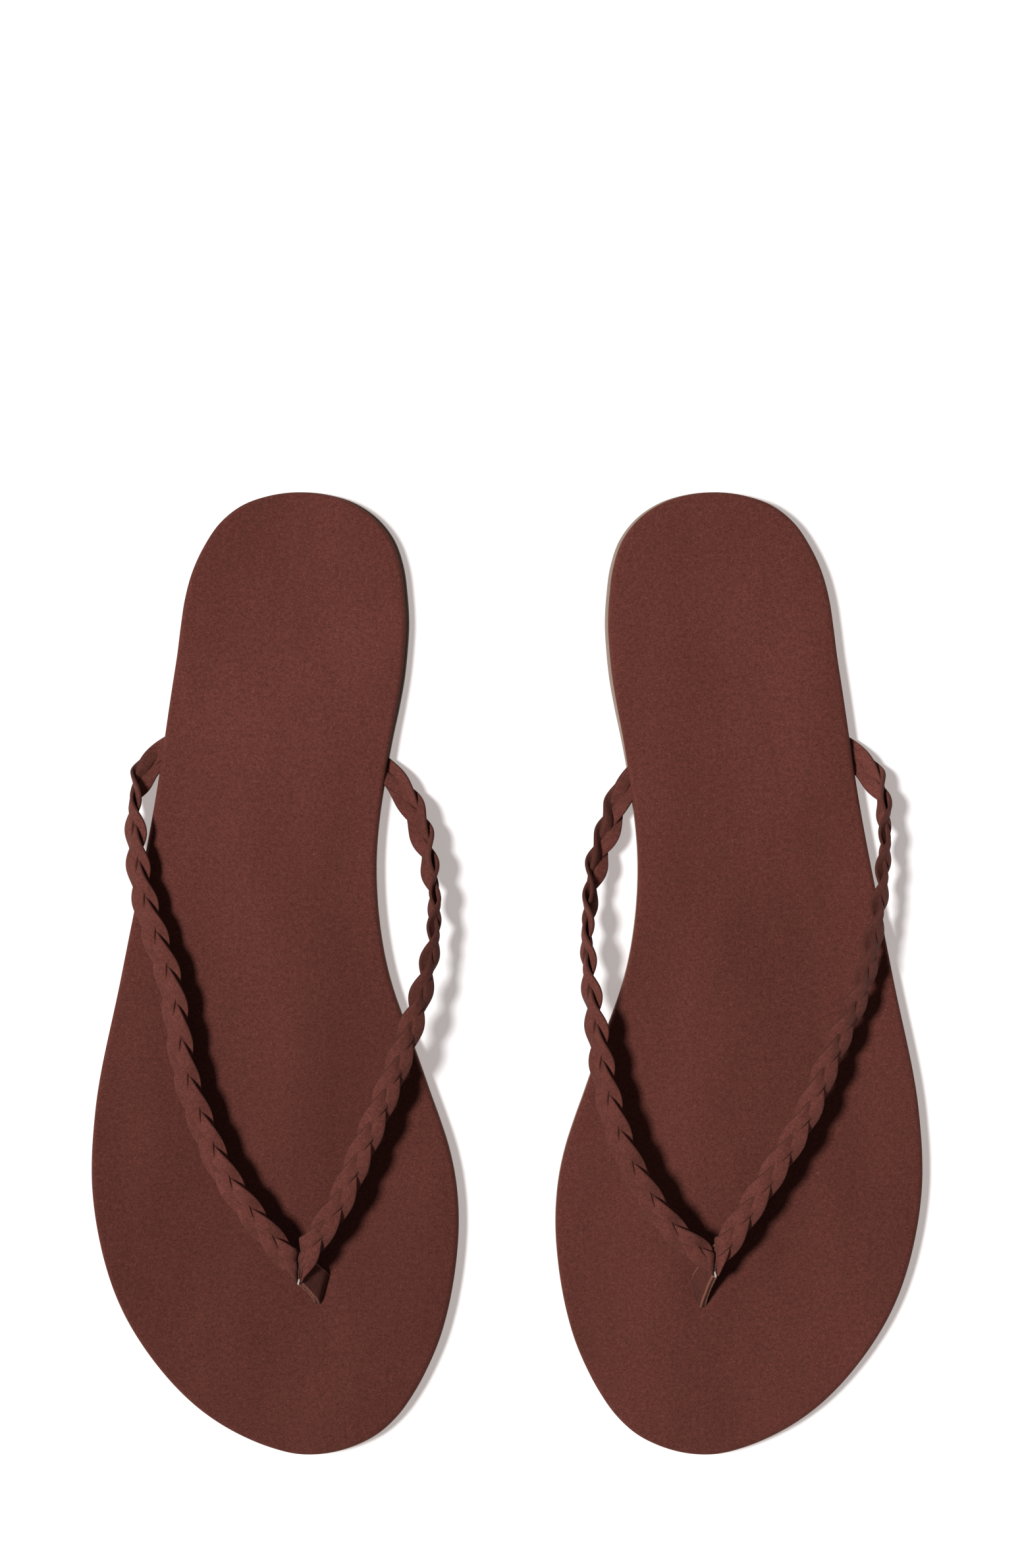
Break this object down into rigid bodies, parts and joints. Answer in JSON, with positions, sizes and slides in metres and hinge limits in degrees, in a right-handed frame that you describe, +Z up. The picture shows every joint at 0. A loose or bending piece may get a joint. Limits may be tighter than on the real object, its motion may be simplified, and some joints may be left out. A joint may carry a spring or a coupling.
{
  "type": "flip flop pair",
  "caption": "Pair of flat thong sandals: thin layered sole, suede footbed and a plaited leather thong with a slim toe post.",
  "frame": {"origin": "centre of the pair's box, on the floor under the soles", "axes": "+X toward the left sandal, +Y from the toes to the heels, +Z up"},
  "size_m": [0.2202, 0.255, 0.0238],
  "materials": {
    "suede": "brown suede with a short nap",
    "rubber": "taupe matt rubber sheet",
    "fibreboard": "pressed fibre insole board, cut edge",
    "foam": "thin closed-cell foam sheet",
    "tape": "woven reinforcing tape",
    "thread": "pale waxed sewing thread"
  },
  "bodies": {
    "right_flip_flop": {"right_outsole": "rubber", "right_midsole": "rubber", "right_insole_board": "fibreboard", "right_footbed_foam": "foam", "right_footbed_leather": "suede", "right_lateral_strand_a": "suede", "right_lateral_strand_b": "suede", "right_lateral_strand_c": "suede", "right_lateral_strap_tab": "suede", "right_medial_strand_a": "suede", "right_medial_strand_b": "suede", "right_medial_strand_c": "suede", "right_medial_strap_tab": "suede", "right_toe_post_outer_ply": "suede", "right_toe_post_inner_ply": "suede", "right_toe_post_tape": "tape", "right_toe_anchor": "rubber", "right_vertex_stitch": "thread"},
    "left_flip_flop": {"left_outsole": "rubber", "left_midsole": "rubber", "left_insole_board": "fibreboard", "left_footbed_foam": "foam", "left_footbed_leather": "suede", "left_lateral_strand_a": "suede", "left_lateral_strand_b": "suede", "left_lateral_strand_c": "suede", "left_lateral_strap_tab": "suede", "left_medial_strand_a": "suede", "left_medial_strand_b": "suede", "left_medial_strand_c": "suede", "left_medial_strap_tab": "suede", "left_toe_post_outer_ply": "suede", "left_toe_post_inner_ply": "suede", "left_toe_post_tape": "tape", "left_toe_anchor": "rubber", "left_vertex_stitch": "thread"}
  },
  "joints": [
    {"name": "left_lift", "type": "slide", "parent": "right_flip_flop", "child": "left_flip_flop", "axis": [0, 0, 1], "range_m": [0, 0.25]}
  ]
}
